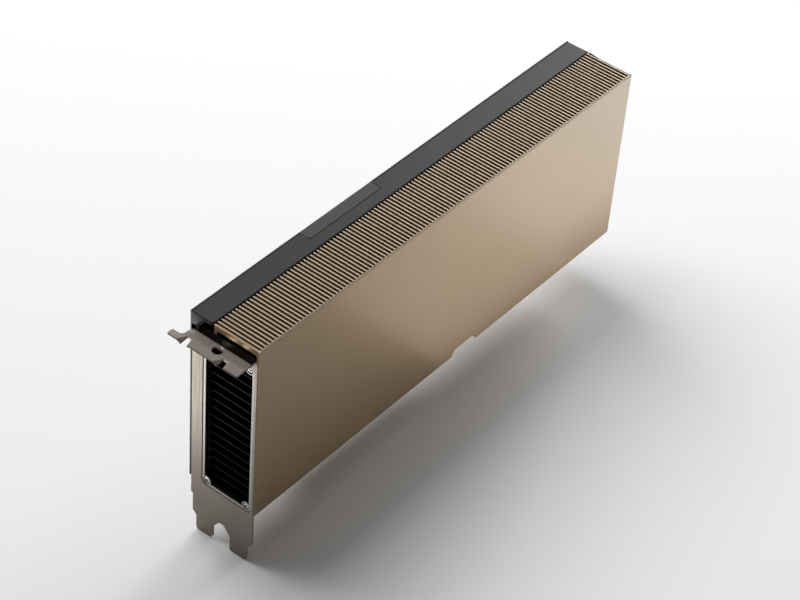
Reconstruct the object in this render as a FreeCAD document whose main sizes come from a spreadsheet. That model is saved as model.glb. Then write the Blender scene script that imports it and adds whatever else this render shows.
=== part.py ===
import FreeCAD, Part
import math
import os
import re

import Sketcher

# A passive accelerator card: a finned heatsink in a ribbed metal shroud, on a board whose edge
# connector plugs into a slot. All sizes are in millimetres.
#
# The origin is the edge connector's datum: the middle of the key notch along X, the middle of the
# board's thickness along Y and the bottom of the contacts along Z. The bracket is at the -X end,
# the shroud's large face looks to -Y and the ribbed edge looks up.
#
# The sizes below are given as a builder would measure them on the card: along, from the bracket's
# inner face; deep, from the backplate's outer face; and up, from the shroud's bottom edge.

SIZES = {
    # The whole card.
    "card_length": 267.7,
    "card_thickness": 38.6,
    "cover_height": 99.0,
    "cover_bottom": 12.15,
    "key_from_bracket": 59.05,
    "board_thickness": 1.57,
    "overcut": 1.0,
    "rear_clearance": 2.67,
    # Shroud.
    "shroud_wall": 1.2,
    "shroud_top": 2.8,
    "shroud_floor": 1.5,
    "floor_gap": 1.2,
    "return_wall": 1.5,
    "return_drop": 2.2,
    "inner_round": 1.5,
    "rib_pitch": 2.176,
    "rib_width": 1.0,
    "rib_height": 0.75,
    "rib_margin": 0.55,
    "latch_start": 140.5,
    "latch_width": 18.8,
    "latch_slope": 2.1,
    "latch_height": 3.3,
    # Side rail, backplate and connector cover along the top edge.
    "rail_width": 12.7,
    "rail_gap": 0.7,
    "rail_plate": 1.6,
    "rail_web": 8.5,
    "rail_foot": 4.6,
    "rail_depth": 7.0,
    "rail_corner": 2.0,
    "rail_edge": 0.35,
    "backplate_sheet": 0.6,
    "backplate_corner": 0.4,
    "cover_start": 69.0,
    "cover_length": 49.3,
    "cover_width": 6.6,
    "cover_cap": 1.6,
    "cover_gap": 0.3,
    "cover_corner": 0.9,
    "plug_inset": 1.2,
    "plug_side": 0.6,
    "plug_depth": 4.2,
    # Bracket.
    "bracket_sheet": 0.86,
    "bracket_height": 120.02,
    "plate_left": 1.81,
    "plate_right": 38.6,
    "plate_drop": 9.5,
    "plate_step": 1.1,
    "step_top": 9.2,
    "shoulder_low": 19.8,
    "tongue_left": 5.15,
    "tongue_width": 10.19,
    "tongue_pitch": 20.32,
    "tongue_root": 22.2,
    "tongue_chamfer": 1.8,
    "tongue_corner": 1.0,
    "saddle_low": 17.4,
    "saddle_width": 2.4,
    "shoulder_cut": 2.5,
    "shoulder_width": 1.0,
    "ear_height": 4.1,
    "ear_tip": 0.9,
    "ear_root": 3.9,
    "flange_depth": 9.5,
    "flange_left": 1.0,
    "flange_tab": 5.6,
    "flange_tab_width": 3.4,
    "flange_right": 34.9,
    "flange_notch": 4.05,
    "notch_start": 3.35,
    "notch_width": 2.6,
    "notch_lead": 2.6,
    "notch_lead_open": 0.3,
    "notch_lead_drop": 1.05,
    "notch_flare": 2.2,
    "notch_flare_open": 0.6,
    "notch_flare_drop": 0.4,
    "notch_pitch": 20.45,
    "flange_corner": 0.5,
    "flange_inner_round": 2.4,
    "flange_hole_along": 3.05,
    "flange_hole_deep": 18.4,
    "flange_hole_radius": 2.6,
    "tab_length": 8.0,
    "tab_height": 10.0,
    "tab_low": 12.0,
    "tab_high": 66.0,
    # Vent in the bracket.
    "window_left": 8.0,
    "window_right": 37.4,
    "window_low": 1.1,
    "window_margin": 1.0,
    "window_corner": 3.0,
    "vent_slit": 0.3,
    "vent_rim": 1.2,
    "vent_recess": 0.35,
    "vent_boss": 2.45,
    "vent_boss_left": 2.5,
    "vent_boss_right": 2.9,
    "vent_boss_low": 2.6,
    "vent_boss_high": 1.8,
    "vent_screw": 1.0,
    "vent_head": 1.55,
    "vent_head_clearance": 0.35,
    "vent_head_sink": 0.1,
    "frame_left": 6.8,
    "frame_drop": 5.1,
    "frame_thickness": 2.0,
    "frame_corner": 4.6,
    # Heatsink.
    "sink_gap": 31.7,
    "base_thickness": 2.8,
    "base_drop": 6.4,
    "fin_sheet": 0.4,
    "fin_pitch": 5.09,
    "fin_first": 2.4,
    "fin_tip_gap": 0.4,
    "pedestal_width": 54.0,
    # Processor package.
    "chip_along": 118.0,
    "chip_up": 46.0,
    "substrate_size": 55.0,
    "substrate_thickness": 1.4,
    "die_width": 26.0,
    "die_height": 32.0,
    "die_thickness": 0.8,
    "memory_width": 8.0,
    "memory_height": 10.0,
    "memory_step": 11.0,
    "memory_gap": 1.0,
    "ring_width": 4.0,
    "ring_thickness": 0.6,
    "spring_spacing": 60.0,
    "spring_hole": 1.25,
    "spring_head": 2.25,
    "spring_head_height": 0.8,
    "spring_screw_depth": 2.0,
    "retainer_thickness": 0.9,
    "retainer_arm": 9.0,
    # Board.
    "board_gap": 5.7,
    "board_start": 0.6,
    "board_low": 8.25,
    "key_width": 1.9,
    "key_depth": 7.3,
    "front_contacts": 11,
    "rear_contacts": 71,
    "contact_pitch": 1.0,
    "contact_margin": 0.65,
    "contact_width": 0.7,
    "contact_low": 0.6,
    "contact_height": 4.6,
    "contact_plating": 0.05,
    "hook_gap": 4.9,
    "hook_stem": 3.2,
    "hook_foot": 4.2,
    "hook_low": 3.4,
    "hook_height": 2.8,
    "bridge_margin": 3.5,
    "bridge_contacts": 12,
    "bridge_contact_width": 1.2,
    "bridge_contact_height": 3.0,
    # Parts on the board.
    "inductor_size": 6.6,
    "inductor_height": 2.2,
    "inductor_pitch": 9.6,
    "inductor_count": 7,
    "inductor_offset": 41.0,
    "stage_width": 4.6,
    "stage_height": 0.8,
    "stage_offset": 7.2,
    "ceramic_offset": 5.4,
    "bulk_radius": 4.0,
    "bulk_height": 8.0,
    "bulk_pitch": 12.0,
    "bulk_count": 4,
    "bulk_from_end": 18.7,
    "bulk_first": 14.0,
    "ceramic_length": 3.2,
    "ceramic_width": 1.6,
    "ceramic_height": 1.2,
    "control_height": 1.0,
    "control_size": 8.0,
    "control_near": 30.0,
    "control_far": 62.7,
    "control_low": 26.0,
    "control_high": 60.0,
    # Power socket and far end.
    "socket_recess": 1.1,
    "socket_length": 23.6,
    "socket_drop": 30.0,
    "socket_width": 18.8,
    "socket_height": 10.4,
    "socket_wall": 1.0,
    "socket_floor": 12.0,
    "pin_pitch": 4.2,
    "pin_size": 1.14,
    "pin_length": 9.0,
    "latch_ramp": 1.6,
    "ramp_from_end": 3.0,
    "ramp_length": 4.0,
    "ramp_width": 5.0,
    "end_thickness": 2.4,
    "end_rim": 3.0,
    "end_top_rim": 1.5,
    "end_port_gap": 1.0,
    "end_bar": 3.0,
    "extender_hole": 1.25,
    "extender_deep": 5.4,
    "extender_low": 10.0,
    "extender_spacing": 44.0,
    # Fasteners.
    "screw_radius": 1.0,
    "screw_head": 2.3,
    "screw_near": 14.0,
    "screw_far": 11.7,
    "screw_low": 7.0,
    "screw_drop": 15.0,
    "rail_screw_near": 22.0,
    "rail_screw_far": 21.7,
    "rail_screw_drop": 3.5,
    "rail_screw_depth": 2.5,
    "standoff_radius": 2.9,
    "pan_head": 2.2,
    "pan_height": 1.0,
    "floor_screw_near": 30.0,
    "floor_screw_far": 41.7,
    "floor_screw_depth": 5.0,
}

# Where the backplate is screwed to the board's standoffs, along and up.
BOARD_SCREWS = [(x, z) for x in ("screw_near", "card_length - screw_far")
                for z in ("screw_low", "cover_height - screw_drop")]
# Where the rail is screwed to the backplate, and the shroud's floor to the heatsink, along.
RAIL_SCREWS = ["rail_screw_near", "card_length - rail_screw_far"]
FLOOR_SCREWS = ["floor_screw_near", "card_length - floor_screw_far"]
# Where the small chips are on the board, along and up.
CONTROL_CHIPS = [(x, z) for x in ("control_near", "card_length - control_far")
                 for z in ("control_low", "control_high")]

doc = FreeCAD.newDocument("accelerator_card")
sheet = doc.addObject("Spreadsheet::Sheet", "Sizes")
for row, (alias, number) in enumerate(SIZES.items(), start=1):
    sheet.set("A%d" % row, alias)
    sheet.set("B%d" % row, str(number))
    sheet.setAlias("B%d" % row, alias)
doc.recompute()

PARTS = []


def bound(expression):
    """An expression over the size names, written for the document."""
    return re.sub(r"[a-z][a-z_]*", lambda word: "Sizes." + word.group(0)
                  if word.group(0) in SIZES else word.group(0), expression)


def value(expression):
    """The number that an expression over the size names has now."""
    return float(sheet.evalExpression(bound(expression)))


def along(distance):
    """X of a place given from the bracket's inner face."""
    return "(%s) - key_from_bracket" % distance


def deep(distance):
    """Y of a place given from the backplate's outer face."""
    return "board_thickness / 2 + rear_clearance - (%s)" % distance


def forward(distance):
    """Distance from the board's middle plane towards -Y, of a place given as for deep."""
    return "(%s) - board_thickness / 2 - rear_clearance" % distance


def up(distance):
    """Z of a place given from the shroud's bottom edge."""
    return "(%s) + cover_bottom" % distance


def spot(x, y, z):
    """A point of the model from numbers given along, deep and up."""
    return FreeCAD.Vector(value(along(x)), value(deep(y)), value(up(z)))


# Places that several pieces share, given along, deep or up.
BOARD_REAR = "rear_clearance"
BOARD_FRONT = "rear_clearance + board_thickness"
PACKAGE_TOP = BOARD_FRONT + " + substrate_thickness + die_thickness"
PLATE_TOP = "cover_height - plate_drop"
WINDOW_HIGH = PLATE_TOP + " - window_margin"
DUCT_LEFT = "window_left + vent_slit + vent_rim"
DUCT_RIGHT = "window_right - vent_slit - vent_rim"
DUCT_LOW = "window_low + vent_slit + vent_rim"
DUCT_HIGH = WINDOW_HIGH + " - vent_slit - vent_rim"
BASE_FRONT = DUCT_LEFT
BASE_REAR = BASE_FRONT + " - base_thickness"
BASE_HIGH = "cover_height - base_drop"
SINK_END = "card_length - sink_gap"
SHROUD_INSIDE = "card_thickness - shroud_wall"
CEILING = "cover_height - shroud_top"
SHROUD_LEFT = "rail_width + rail_gap"
RAIL_LOW = "cover_height - rail_depth"
RAIL_SCREW_UP = "cover_height - rail_screw_drop"
BOARD_END = "card_length - board_gap"
SOCKET_END = "card_length - socket_recess"
SOCKET_LOW = "cover_height - socket_drop"
BRIDGE_START = "cover_start + bridge_margin"
BRIDGE_LENGTH = "cover_length - 2 * bridge_margin"
BRIDGE_TOP = "cover_height - cover_cap - cover_gap"
FRONT_TAB = "front_contacts * contact_pitch + contact_margin"
REAR_TAB = "rear_contacts * contact_pitch + contact_margin"


def keep(item, label):
    """Name a finished sub-part and put it on the list of pieces."""
    item.Label = label
    PARTS.append(item)
    return item


def new_body(label):
    """A body for one sub-part."""
    return keep(doc.addObject("PartDesign::Body", label), label)


def origin_item(body, role):
    """A plane or an axis of the body's own origin."""
    return next(item for item in body.Origin.OriginFeatures if item.Role == role)


def new_sketch(body, name, plane, offset="0"):
    """A sketch on one of the body's origin planes, moved along the plane's normal."""
    sketch = body.newObject("Sketcher::SketchObject", name)
    sketch.AttachmentSupport = [(origin_item(body, plane), "")]
    sketch.MapMode = "FlatFace"
    sketch.setExpression("AttachmentOffset.Base.z", bound(offset))
    return sketch


def pin(sketch, pins):
    """Hold points of a sketch at places bound to the sheet: geometry, point, across, up."""
    first = sketch.ConstraintCount
    rules = []
    sources = []
    for geometry, point, across, upward in pins:
        rules.append(Sketcher.Constraint("DistanceX", -1, 1, geometry, point, value(across)))
        rules.append(Sketcher.Constraint("DistanceY", -1, 1, geometry, point, value(upward)))
        sources += [across, upward]
    sketch.addConstraint(rules)
    for index, source in enumerate(sources):
        sketch.setExpression("Constraints[%d]" % (first + index), bound(source))


def draw(sketch, corners):
    """Add a closed straight-sided outline, given by its corners."""
    first = sketch.GeometryCount
    places = [FreeCAD.Vector(value(across), value(upward), 0) for across, upward in corners]
    following = places[1:] + places[:1]
    sketch.addGeometry([Part.LineSegment(a, b) for a, b in zip(places, following)], False)
    count = len(places)
    joints = [Sketcher.Constraint("Coincident", first + index, 2, first + (index + 1) % count, 1)
              for index in range(count)]
    sketch.addConstraint(joints)
    pin(sketch, [(first + index, 1, across, upward)
                 for index, (across, upward) in enumerate(corners)])


def draw_box(sketch, left, right, low, high):
    """Add a rectangle."""
    draw(sketch, [(left, low), (right, low), (right, high), (left, high)])


def draw_circle(sketch, across, upward, radius):
    """Add a circle."""
    centre = FreeCAD.Vector(value(across), value(upward), 0)
    circle = sketch.addGeometry(Part.Circle(centre, FreeCAD.Vector(0, 0, 1), value(radius)), False)
    pin(sketch, [(circle, 3, across, upward)])
    rule = sketch.addConstraint(Sketcher.Constraint("Radius", circle, value(radius)))
    sketch.setExpression("Constraints[%d]" % rule, bound(radius))


def pad(body, sketch, length):
    """Raise a sketch along its normal."""
    feature = body.newObject("PartDesign::Pad", sketch.Name + "_pad")
    feature.Profile = sketch
    feature.setExpression("Length", bound(length))
    doc.recompute()
    return feature


def pocket(body, sketch, length):
    """Cut a sketch along its normal, and make sure that the cut took something away."""
    before = body.Shape.Volume
    feature = body.newObject("PartDesign::Pocket", sketch.Name + "_pocket")
    feature.Profile = sketch
    feature.Reversed = True
    feature.setExpression("Length", bound(length))
    doc.recompute()
    if not body.Shape.Volume < before:
        raise RuntimeError("%s cuts nothing" % feature.Name)
    return feature


def edges_along(shape, axis, places):
    """Names of the straight edges along an axis that pass through the places across it."""
    others = [index for index in range(3) if index != axis]
    names = []
    for number, edge in enumerate(shape.Edges, start=1):
        if len(edge.Vertexes) != 2:
            continue
        start, end = (vertex.Point for vertex in edge.Vertexes)
        if any(abs(start[index] - end[index]) > 1e-6 for index in others):
            continue
        if any(math.dist((start[others[0]], start[others[1]]), place) < 1e-4 for place in places):
            names.append("Edge%d" % number)
    return names


def dress(body, kind, name, axis, places, size_name, size):
    """Round or bevel the edges along an axis at the places given."""
    places = [(value(first), value(second)) for first, second in places]
    base = body.Tip
    names = edges_along(base.Shape, axis, places)
    feature = body.newObject(kind, name)
    feature.Base = (base, names)
    feature.setExpression(size_name, bound(size))
    doc.recompute()
    return feature


def round_edges(body, name, axis, places, radius):
    """Round edges along an axis."""
    return dress(body, "PartDesign::Fillet", name, axis, places, "Radius", radius)


def bevel_edges(body, name, axis, places, size):
    """Bevel edges along an axis."""
    return dress(body, "PartDesign::Chamfer", name, axis, places, "Size", size)


def group(label, solids):
    """A node of several like solids that are made in a loop."""
    item = doc.addObject("Part::Feature", label)
    item.Shape = Part.Compound(solids) if len(solids) > 1 else solids[0]
    return keep(item, label)


def block(x, y, z):
    """A box between two places along, deep and up, each pair given low and high."""
    low = spot(x[0], y[1], z[0])
    high = spot(x[1], y[0], z[1])
    size = high - low
    return Part.makeBox(size.x, size.y, size.z, low)


def rod(x, y, z, radius, length, direction):
    """A round rod that starts at a place along, deep and up."""
    return Part.makeCylinder(value(radius), value(length), spot(x, y, z), direction)


INWARD = FreeCAD.Vector(0, -1, 0)
FORWARD = FreeCAD.Vector(1, 0, 0)
UPWARD = FreeCAD.Vector(0, 0, 1)


def make_shroud():
    """The ribbed cover: a large face, a top wall with a return, and a floor."""
    body = new_body("shroud")
    section = new_sketch(body, "shroud_section", "YZ_Plane", along("0"))
    floor_edge = BOARD_FRONT + " + floor_gap"
    return_inside = SHROUD_LEFT + " + return_wall"
    return_low = CEILING + " - return_drop"
    draw(section, [
        (deep(floor_edge), up("0")),
        (deep(floor_edge), up("shroud_floor")),
        (deep(SHROUD_INSIDE), up("shroud_floor")),
        (deep(SHROUD_INSIDE), up(CEILING)),
        (deep(return_inside), up(CEILING)),
        (deep(return_inside), up(return_low)),
        (deep(SHROUD_LEFT), up(return_low)),
        (deep(SHROUD_LEFT), up("cover_height")),
        (deep("card_thickness"), up("cover_height")),
        (deep("card_thickness"), up("0")),
    ])
    pad(body, section, "card_length")
    round_edges(body, "return_round", 0, [(deep(return_inside), up(CEILING))], "return_wall")
    round_edges(body, "ceiling_round", 0, [(deep(SHROUD_INSIDE), up(CEILING))], "inner_round")
    latch = new_sketch(body, "latch_cut", "XZ_Plane", forward(SHROUD_INSIDE + " - overcut"))
    latch_end = "latch_start + latch_width"
    draw(latch, [
        (along("latch_start"), up("-overcut")),
        (along("latch_start"), up("0")),
        (along("latch_start + latch_slope"), up("latch_height")),
        (along(latch_end + " - latch_slope"), up("latch_height")),
        (along(latch_end), up("0")),
        (along(latch_end), up("-overcut")),
    ])
    pocket(body, latch, "shroud_wall + 2 * overcut")
    groove = new_sketch(body, "groove", "XY_Plane", up("cover_height - rib_height"))
    groove_deep = "card_thickness - rib_margin"
    draw_box(groove, along("rib_width"), along("rib_pitch"), deep(groove_deep),
             deep(SHROUD_LEFT + " - overcut"))
    first = pocket(body, groove, "rib_height + overcut")
    ribs = body.newObject("PartDesign::LinearPattern", "ribs")
    ribs.Originals = [first]
    ribs.Direction = (origin_item(body, "X_Axis"), [""])
    count = "floor(card_length / rib_pitch)"
    ribs.setExpression("Length", bound("rib_pitch * (%s - 1)" % count))
    ribs.setExpression("Occurrences", bound(count))
    body.Tip = ribs
    doc.recompute()
    screws = new_sketch(body, "floor_holes", "XY_Plane", up("-overcut"))
    for place in FLOOR_SCREWS:
        draw_circle(screws, along(place), deep(BASE_REAR + " + base_thickness / 2"), "screw_radius")
    pocket(body, screws, "shroud_floor + 2 * overcut")
    return body


def make_top_rail():
    """The dark rail beside the ribs: a top plate on a sloping web."""
    body = new_body("top_rail")
    section = new_sketch(body, "rail_section", "YZ_Plane", along("0"))
    underside = "cover_height - rail_plate"
    draw(section, [
        (deep("backplate_sheet"), up(RAIL_LOW)),
        (deep("backplate_sheet"), up("cover_height")),
        (deep("rail_width"), up("cover_height")),
        (deep("rail_width"), up(underside)),
        (deep("rail_web"), up(underside)),
        (deep("rail_foot"), up(RAIL_LOW)),
    ])
    pad(body, section, "card_length")
    round_edges(body, "rail_corners", 2,
                [(along("0"), deep("rail_width")), (along("card_length"), deep("rail_width"))],
                "rail_corner")
    bevel_edges(body, "rail_edges", 0,
                [(deep("rail_width"), up("cover_height")),
                 (deep("backplate_sheet"), up("cover_height"))], "rail_edge")
    seat = new_sketch(body, "cover_seat", "XY_Plane", up(RAIL_LOW + " - overcut"))
    draw_box(seat, along("cover_start"), along("cover_start + cover_length"),
             deep("cover_width"), deep("-overcut"))
    pocket(body, seat, "rail_depth + 2 * overcut")
    holes = new_sketch(body, "rail_holes", "XZ_Plane", forward("backplate_sheet - overcut"))
    for place in RAIL_SCREWS:
        draw_circle(holes, along(place), up(RAIL_SCREW_UP), "screw_radius")
    pocket(body, holes, "rail_screw_depth + overcut")
    return body


def make_connector_cover():
    """The cap over the bridge connector, with a hollow plug below it."""
    body = new_body("connector_cover")
    low = "cover_height - cover_cap"
    left = "cover_start + cover_gap"
    right = "cover_start + cover_length - cover_gap"
    cap = new_sketch(body, "cap", "XY_Plane", up(low))
    draw_box(cap, along(left), along(right), deep("cover_width - cover_gap"), deep("0"))
    pad(body, cap, "cover_cap")
    inner = deep("cover_width - cover_gap")
    round_edges(body, "cap_corners", 2, [(along(left), inner), (along(right), inner)],
                "cover_corner")
    plug_low = low + " - plug_depth"
    plug = new_sketch(body, "plug", "XY_Plane", up(plug_low))
    draw_box(plug, along(left + " + plug_inset"), along(right + " - plug_inset"),
             deep("cover_width - cover_gap - plug_side"), deep("plug_inset"))
    pad(body, plug, "plug_depth")
    slot = new_sketch(body, "slot", "XY_Plane", up(plug_low + " - overcut"))
    draw_box(slot, along(BRIDGE_START + " - cover_gap"),
             along(BRIDGE_START + " + " + BRIDGE_LENGTH + " + cover_gap"),
             deep(BOARD_FRONT + " + cover_gap"), deep(BOARD_REAR + " - cover_gap"))
    pocket(body, slot, "plug_depth + overcut")
    return body


def make_backplate():
    """The sheet over the back of the board."""
    body = new_body("backplate")
    outline = new_sketch(body, "backplate_outline", "XZ_Plane", forward("0"))
    cover_low = "cover_height - cover_cap - cover_gap"
    cover_end = "cover_start + cover_length"
    draw(outline, [
        (along("0"), up("0")),
        (along("card_length"), up("0")),
        (along("card_length"), up("cover_height")),
        (along(cover_end), up("cover_height")),
        (along(cover_end), up(cover_low)),
        (along("cover_start"), up(cover_low)),
        (along("cover_start"), up("cover_height")),
        (along("0"), up("cover_height")),
    ])
    pad(body, outline, "backplate_sheet")
    round_edges(body, "backplate_corners", 1, [(along("0"), up("0")), (along("card_length"), up("0"))],
                "backplate_corner")
    holes = new_sketch(body, "backplate_holes", "XZ_Plane", forward("-overcut"))
    for x, z in BOARD_SCREWS + [(place, RAIL_SCREW_UP) for place in RAIL_SCREWS]:
        draw_circle(holes, along(x), up(z), "screw_head")
    pocket(body, holes, "backplate_sheet + 2 * overcut")
    return body


def notch_starts():
    """Where the flange's two notches start, deep."""
    return ["notch_start", "notch_start + notch_pitch"]


def bent_corner(root, lip, drop):
    """A corner of the flange bent down beside a notch, from places along and deep."""
    top = value(PLATE_TOP)
    low = top - value(drop)
    bottom = value("-flange_depth + flange_notch")
    edge = value("-flange_depth")
    corners = [spot(edge, value(root), top), spot(edge, value(lip[0]), low),
               spot(bottom, value(lip[1]), top)]
    face = Part.Face(Part.makePolygon(corners + corners[:1]))
    return face.extrude(UPWARD * -value("bracket_sheet"))


def make_bracket():
    """The stamped bracket: a plate with two tongues, a vent window, a flange and two tabs."""
    body = doc.addObject("PartDesign::Body", "bracket_blank")
    tip = PLATE_TOP + " - bracket_height"
    left_two = "tongue_left + tongue_pitch"
    root = "-tongue_root"
    saddle = "tongue_left + (tongue_pitch + tongue_width) / 2"
    saddle_high = "-saddle_low"
    front = along("-bracket_sheet")
    plate = new_sketch(body, "plate", "YZ_Plane", front)

    def tongue(left):
        right = left + " + tongue_width"
        return [
            (deep(left), up(root)),
            (deep(left), up(tip)),
            (deep(right + " - tongue_chamfer"), up(tip)),
            (deep(right), up(tip + " + tongue_chamfer")),
            (deep(right), up(root)),
        ]

    draw(plate, [
        (deep("plate_left"), up(PLATE_TOP)),
        (deep("plate_left"), up("-step_top")),
        (deep("plate_left + plate_step"), up("-step_top")),
        (deep("plate_left + plate_step"), up("-shoulder_low")),
    ] + tongue("tongue_left") + [
        (deep(saddle + " - saddle_width / 2"), up(saddle_high)),
        (deep(saddle + " + saddle_width / 2"), up(saddle_high)),
    ] + tongue(left_two) + [
        (deep("plate_right - shoulder_width"), up(root + " + shoulder_cut")),
        (deep("plate_right"), up("-saddle_low")),
        (deep("plate_right"), up(PLATE_TOP)),
        (deep("plate_right - ear_tip"), up(PLATE_TOP + " + ear_height")),
        (deep("plate_right - ear_root"), up(PLATE_TOP)),
    ])
    pad(body, plate, "bracket_sheet")
    rounds = [(deep(left), up(tip)) for left in ("tongue_left", left_two)]
    round_edges(body, "tongue_rounds", 0, rounds, "tongue_corner")
    saddles = [(deep(saddle + " - saddle_width / 2"), up(saddle_high)),
               (deep(saddle + " + saddle_width / 2"), up(saddle_high))]
    round_edges(body, "saddle_rounds", 0, saddles, "tongue_corner")
    window = new_sketch(body, "window", "YZ_Plane", front + " - overcut")
    draw_box(window, deep("window_right"), deep("window_left"), up("window_low"), up(WINDOW_HIGH))
    pocket(body, window, "bracket_sheet + 2 * overcut")
    corners = [(deep(y), up(z)) for y in ("window_left", "window_right")
               for z in ("window_low", WINDOW_HIGH)]
    round_edges(body, "window_rounds", 0, corners, "window_corner")
    flange = new_sketch(body, "flange", "XY_Plane", up(PLATE_TOP + " - bracket_sheet"))
    lip = along("-flange_depth")
    bottom = along("-flange_depth + flange_notch")
    tab_inner = along("-flange_depth + flange_tab_width")

    def notch(start):
        end = start + " + notch_width"
        return [
            (lip, deep(start + " - notch_lead")),
            (bottom, deep(start)),
            (bottom, deep(end)),
            (lip, deep(end + " + notch_flare")),
        ]

    draw(flange, [
        (along("0"), deep("plate_left")),
        (along("-bracket_sheet"), deep("plate_left")),
        (along("-bracket_sheet"), deep("flange_left")),
        (tab_inner, deep("flange_left")),
        (tab_inner, deep("flange_left - flange_tab")),
        (lip, deep("flange_left - flange_tab")),
    ] + [corner for start in notch_starts() for corner in notch(start)] + [
        (lip, deep("flange_right")),
        (along("0"), deep("flange_right")),
    ])
    pad(body, flange, "bracket_sheet")
    tab_end = deep("flange_left - flange_tab")
    round_edges(body, "flange_rounds", 2,
                [(tab_inner, tab_end), (lip, tab_end), (lip, deep("flange_right"))], "flange_corner")
    round_edges(body, "tab_round", 2, [(tab_inner, deep("flange_left"))], "flange_inner_round")
    hole = new_sketch(body, "flange_hole", "XY_Plane", up(PLATE_TOP + " - bracket_sheet - overcut"))
    draw_circle(hole, along("-flange_hole_along"), deep("flange_hole_deep"),
                "flange_hole_radius")
    pocket(body, hole, "bracket_sheet + 2 * overcut")
    tabs = new_sketch(body, "tabs", "XZ_Plane", forward("plate_left"))
    for low in ("tab_low", "tab_high"):
        draw_box(tabs, along("-bracket_sheet"), along("tab_length"), up(low),
                 up(low + " + tab_height"))
    pad(body, tabs, "rear_clearance - plate_left")
    holes = new_sketch(body, "tab_holes", "XZ_Plane", forward("plate_left - overcut"))
    for low in ("tab_low", "tab_high"):
        draw_circle(holes, along("tab_length / 2"), up(low + " + tab_height / 2"),
                    "screw_radius")
    pocket(body, holes, "rear_clearance - plate_left + 2 * overcut")
    bends = []
    for start in notch_starts():
        end = start + " + notch_width"
        bends.append(bent_corner(start + " - notch_lead", (start + " - notch_lead_open", start),
                                 "notch_lead_drop"))
        bends.append(bent_corner(end + " + notch_flare", (end + " + notch_flare_open", end),
                                 "notch_flare_drop"))
    return group("bracket", [body.Shape.fuse(bends).removeSplitter()])


def vent_centres():
    """The middles of the vent frame's corner bosses, deep and up."""
    return [(y, z)
            for y in ("window_left + vent_slit + vent_boss_left",
                      "window_right - vent_slit - vent_boss_right")
            for z in ("window_low + vent_slit + vent_boss_low",
                      WINDOW_HIGH + " - vent_slit - vent_boss_high")]


def make_vent_frame():
    """The rim that fills the bracket's window, with a screw boss in each corner."""
    body = new_body("vent_frame")
    front = along("-bracket_sheet + vent_recess")
    rim = new_sketch(body, "vent_rim_outline", "YZ_Plane", front)
    outer_y = ("window_left + vent_slit", "window_right - vent_slit")
    outer_z = ("window_low + vent_slit", WINDOW_HIGH + " - vent_slit")
    draw_box(rim, deep(outer_y[1]), deep(outer_y[0]), up(outer_z[0]), up(outer_z[1]))
    thickness = "bracket_sheet - vent_recess"
    pad(body, rim, thickness)
    mouth = new_sketch(body, "vent_mouth", "YZ_Plane", front + " - overcut")
    draw_box(mouth, deep(DUCT_RIGHT), deep(DUCT_LEFT), up(DUCT_LOW), up(DUCT_HIGH))
    pocket(body, mouth, thickness + " + 2 * overcut")
    bosses = new_sketch(body, "vent_bosses", "YZ_Plane", front)
    for y, z in vent_centres():
        draw_circle(bosses, deep(y), up(z), "vent_boss")
    pad(body, bosses, thickness)
    trim = new_sketch(body, "vent_trim", "YZ_Plane", front + " - overcut")
    draw_box(trim, deep("window_right"), deep("window_left"), up(outer_z[1]),
             up(outer_z[1] + " + vent_boss"))
    pocket(body, trim, thickness + " + 2 * overcut")
    round_edges(body, "vent_corners", 0, [(deep(y), up(z)) for y in outer_y for z in outer_z],
                "window_corner - vent_slit")
    holes = new_sketch(body, "vent_holes", "YZ_Plane", front + " - overcut")
    for y, z in vent_centres():
        draw_circle(holes, deep(y), up(z), "vent_head + vent_head_clearance")
    pocket(body, holes, thickness + " + overcut")
    return body


def make_front_frame():
    """The duct frame behind the bracket, which the vent screws and the heatsink meet."""
    body = new_body("front_frame")
    outline = new_sketch(body, "front_outline", "YZ_Plane", along("0"))
    draw_box(outline, deep(SHROUD_INSIDE), deep("frame_left"), up("shroud_floor"),
             up("cover_height - frame_drop"))
    pad(body, outline, "frame_thickness")
    mouth = new_sketch(body, "front_mouth", "YZ_Plane", along("-overcut"))
    draw_box(mouth, deep(DUCT_RIGHT), deep(DUCT_LEFT), up(DUCT_LOW), up(DUCT_HIGH))
    pocket(body, mouth, "frame_thickness + 2 * overcut")
    bevel_corners = [(deep(y), up(z)) for y in (DUCT_LEFT, DUCT_RIGHT) for z in (DUCT_LOW, DUCT_HIGH)]
    bevel_edges(body, "front_corners", 0, bevel_corners, "frame_corner")
    holes = new_sketch(body, "front_holes", "YZ_Plane", along("-overcut"))
    for y, z in vent_centres():
        draw_circle(holes, deep(y), up(z), "vent_screw")
    pocket(body, holes, "frame_thickness + 2 * overcut")
    return body


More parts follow.
